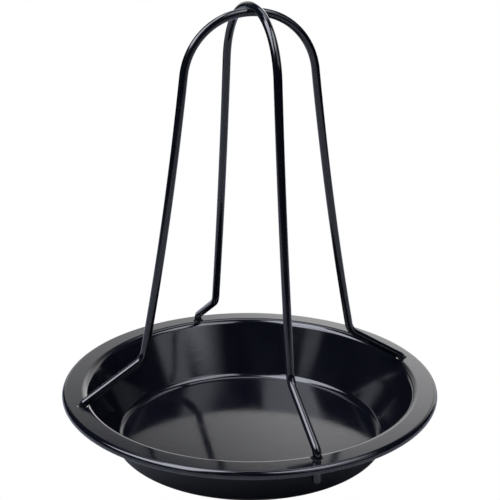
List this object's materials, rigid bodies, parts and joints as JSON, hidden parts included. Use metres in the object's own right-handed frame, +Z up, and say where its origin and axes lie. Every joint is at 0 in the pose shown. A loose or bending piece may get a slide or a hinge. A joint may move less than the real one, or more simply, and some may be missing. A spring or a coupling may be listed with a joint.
{
  "type": "vertical chicken roaster",
  "caption": "Round drip pan with a rolled rim, holding a lift-off rack of crossed wire hoops that a whole chicken stands on to roast upright.",
  "frame": {"origin": "centre of the drip pan's flat underside", "axes": "+Z up, away from the surface it stands on; the lower hoop lies in the XZ plane and the upper hoop in the YZ plane"},
  "size_m": [0.2, 0.2, 0.2324],
  "materials": {
    "pan_coating": "gloss black non-stick enamel on pressed steel",
    "wire_coating": "gloss black non-stick enamel on steel wire"
  },
  "bodies": {
    "pan": {"drip_pan": "pan_coating"},
    "rack": {"lower_hoop": "wire_coating", "upper_hoop": "wire_coating"}
  },
  "joints": [
    {"name": "rack_lift", "type": "slide", "parent": "pan", "child": "rack", "axis": [0, 0, 1], "range_m": [0, 0.05]}
  ]
}
